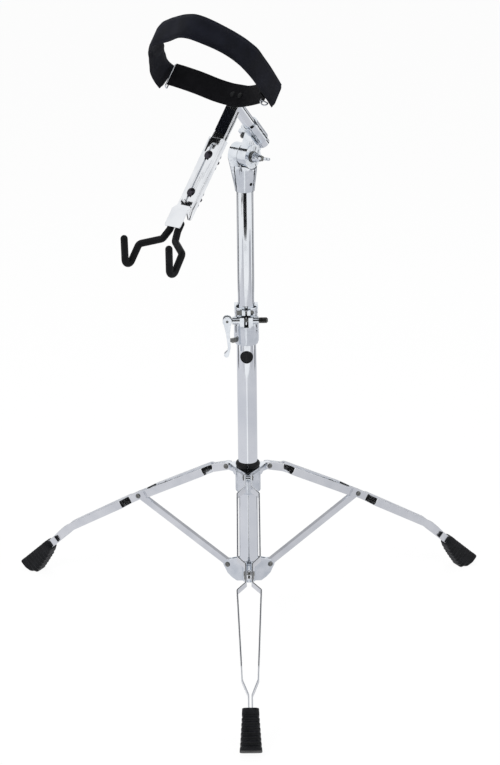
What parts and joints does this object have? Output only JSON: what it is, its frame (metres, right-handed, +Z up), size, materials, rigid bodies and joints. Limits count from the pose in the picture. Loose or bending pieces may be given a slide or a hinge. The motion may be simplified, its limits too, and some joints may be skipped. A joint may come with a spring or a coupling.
{
  "type": "djembe stand",
  "caption": "Folding tripod stand with a telescoping tube, a tilting arm, a padded strap loop and rubber-covered rest hooks that cradle a goblet drum.",
  "frame": {"origin": "on the floor, under the middle of the footprint box", "axes": "+Z up, the front leg points along -Y, the clamp lever is on the -X side"},
  "size_m": [0.7664, 0.6652, 1.006],
  "materials": {
    "chrome_tube": "polished chrome plate",
    "chrome_casting": "polished chrome on die casting",
    "zinc_steel": "zinc plated, satin",
    "black_rubber": "matt black rubber",
    "black_nylon": "black moulded nylon",
    "black_pad": "padded black cloth",
    "black_webbing": "woven black webbing",
    "black_badge": "gloss black, bare"
  },
  "bodies": {
    "base": {"lower_tube": "chrome_tube", "tripod_bracket": "chrome_casting", "bracket_pin_front": "zinc_steel", "bracket_pin_left": "zinc_steel", "bracket_pin_right": "zinc_steel", "clamp_body": "chrome_casting", "clamp_bush": "black_nylon", "clamp_set_screw": "zinc_steel", "clamp_bolt": "zinc_steel", "badge": "black_badge"},
    "collar": {"collar_hub": "chrome_casting", "collar_bush": "black_nylon", "collar_pin_front": "zinc_steel", "collar_pin_left": "zinc_steel", "collar_pin_right": "zinc_steel"},
    "collar_screw": {"collar_wing_screw": "chrome_casting"},
    "lever": {"cam_lever": "chrome_casting", "cam_pin": "zinc_steel"},
    "thumb_nut": {"tension_nut": "zinc_steel"},
    "lock_ring": {"memory_lock": "chrome_casting", "memory_key_bolt": "zinc_steel"},
    "post": {"upper_tube": "chrome_tube", "upper_tube_plug": "black_nylon", "tilter_base": "chrome_casting", "tilter_set_screw": "black_nylon"},
    "tilter": {"tilter_head": "chrome_casting", "tilter_bolt": "zinc_steel", "tilter_washer": "zinc_steel", "sleeve_key_bolt": "zinc_steel"},
    "tilter_nut": {"tilter_wing_nut": "chrome_casting"},
    "arm": {"arm_tube": "chrome_tube", "holder_bar": "chrome_tube", "holder_bolt_upper": "chrome_tube", "holder_bolt_lower": "chrome_tube", "strap_webbing": "black_webbing", "strap_pad": "black_pad", "strap_buckle": "chrome_tube", "strap_ring": "chrome_tube", "strap_rivet_left": "black_nylon", "strap_rivet_right": "black_nylon"},
    "slide": {"slide_channel": "chrome_tube", "hook_left": "black_rubber", "hook_right": "black_rubber"},
    "wing_upper": {"holder_wing_nut_upper": "chrome_casting"},
    "wing_lower": {"holder_wing_nut_lower": "chrome_casting"},
    "leg_front": {"leg_strip_front_a": "chrome_tube", "leg_strip_front_b": "chrome_tube", "foot_front": "black_rubber", "apex_pin_front": "zinc_steel"},
    "brace_front": {"brace_front": "chrome_tube"},
    "leg_right": {"leg_strip_right_a": "chrome_tube", "leg_strip_right_b": "chrome_tube", "foot_right": "black_rubber", "apex_pin_right": "zinc_steel"},
    "brace_right": {"brace_right": "chrome_tube"},
    "leg_left": {"leg_strip_left_a": "chrome_tube", "leg_strip_left_b": "chrome_tube", "foot_left": "black_rubber", "apex_pin_left": "zinc_steel"},
    "brace_left": {"brace_left": "chrome_tube"}
  },
  "joints": [
    {"name": "fold", "type": "hinge", "parent": "base", "child": "brace_front", "pos_m": [0, 0.06642, 0.09435], "axis": [-1, 0, 0], "range_deg": [0, 36]},
    {"name": "leg_front_hinge", "type": "hinge", "parent": "brace_front", "child": "leg_front", "pos_m": [0, -0.09841, 0.17834], "axis": [-1, 0, 0], "range_deg": [-72, 0]},
    {"name": "brace_left_hinge", "type": "hinge", "parent": "base", "child": "brace_left", "pos_m": [-0.031, 0.12012, 0.09435], "axis": [0.5, 0.866, 0], "range_deg": [0, 36]},
    {"name": "leg_left_hinge", "type": "hinge", "parent": "brace_left", "child": "leg_left", "pos_m": [-0.17376, 0.20254, 0.17834], "axis": [0.5, 0.866, 0], "range_deg": [-72, 0]},
    {"name": "brace_right_hinge", "type": "hinge", "parent": "base", "child": "brace_right", "pos_m": [0.031, 0.12012, 0.09435], "axis": [0.5, -0.866, 0], "range_deg": [0, 36]},
    {"name": "leg_right_hinge", "type": "hinge", "parent": "brace_right", "child": "leg_right", "pos_m": [0.17376, 0.20254, 0.17834], "axis": [0.5, -0.866, 0], "range_deg": [-72, 0]},
    {"name": "collar_hinge", "type": "hinge", "parent": "leg_front", "child": "collar", "pos_m": [0, 0.06642, 0.26233], "axis": [-1, 0, 0], "range_deg": [0, 36]},
    {"name": "collar_screw_spin", "type": "hinge", "parent": "collar", "child": "collar_screw", "pos_m": [-0.0044, 0.11865, 0.23833], "axis": [-0.2588, 0.9659, 0], "continuous": true},
    {"name": "height", "type": "slide", "parent": "base", "child": "post", "axis": [0, 0, 1], "range_m": [-0.15, 0.12]},
    {"name": "lock_slide", "type": "slide", "parent": "base", "child": "lock_ring", "axis": [0, 0, 1], "range_m": [0, 0.1]},
    {"name": "lever_throw", "type": "hinge", "parent": "base", "child": "lever", "pos_m": [-0.0286, 0.07923, 0.51365], "axis": [0, 1, 0], "range_deg": [0, 105]},
    {"name": "thumb_nut_spin", "type": "hinge", "parent": "base", "child": "thumb_nut", "pos_m": [0, 0.07923, 0.51365], "axis": [1, 0, 0], "continuous": true},
    {"name": "tilt", "type": "hinge", "parent": "post", "child": "tilter", "pos_m": [0, 0.10222, 0.76235], "axis": [0.766, -0.6428, 0], "range_deg": [-35, 40]},
    {"name": "tilter_nut_spin", "type": "hinge", "parent": "tilter", "child": "tilter_nut", "pos_m": [0.01387, 0.09059, 0.76235], "axis": [0.766, -0.6428, 0], "continuous": true},
    {"name": "arm_turn", "type": "hinge", "parent": "tilter", "child": "arm", "pos_m": [0.0078, 0.09098, 0.81265], "axis": [-0.4301, -0.5126, 0.7431], "range_deg": [-45, 45]},
    {"name": "holder_slide", "type": "slide", "parent": "arm", "child": "slide", "axis": [-0.4132, -0.4924, -0.766], "range_m": [-0.012, 0.015]},
    {"name": "wing_upper_spin", "type": "hinge", "parent": "arm", "child": "wing_upper", "pos_m": [-0.04936, 0.02287, 0.78175], "axis": [0.4924, 0.5868, -0.6428], "continuous": true},
    {"name": "wing_lower_spin", "type": "hinge", "parent": "arm", "child": "wing_lower", "pos_m": [-0.07456, -0.00717, 0.73503], "axis": [0.4924, 0.5868, -0.6428], "continuous": true}
  ],
  "couplings": [
    {"joint": "leg_front_hinge", "follows": "fold", "ratio": -2},
    {"joint": "brace_left_hinge", "follows": "fold", "ratio": 1},
    {"joint": "leg_left_hinge", "follows": "fold", "ratio": -2},
    {"joint": "brace_right_hinge", "follows": "fold", "ratio": 1},
    {"joint": "leg_right_hinge", "follows": "fold", "ratio": -2},
    {"joint": "collar_hinge", "follows": "fold", "ratio": 1}
  ]
}
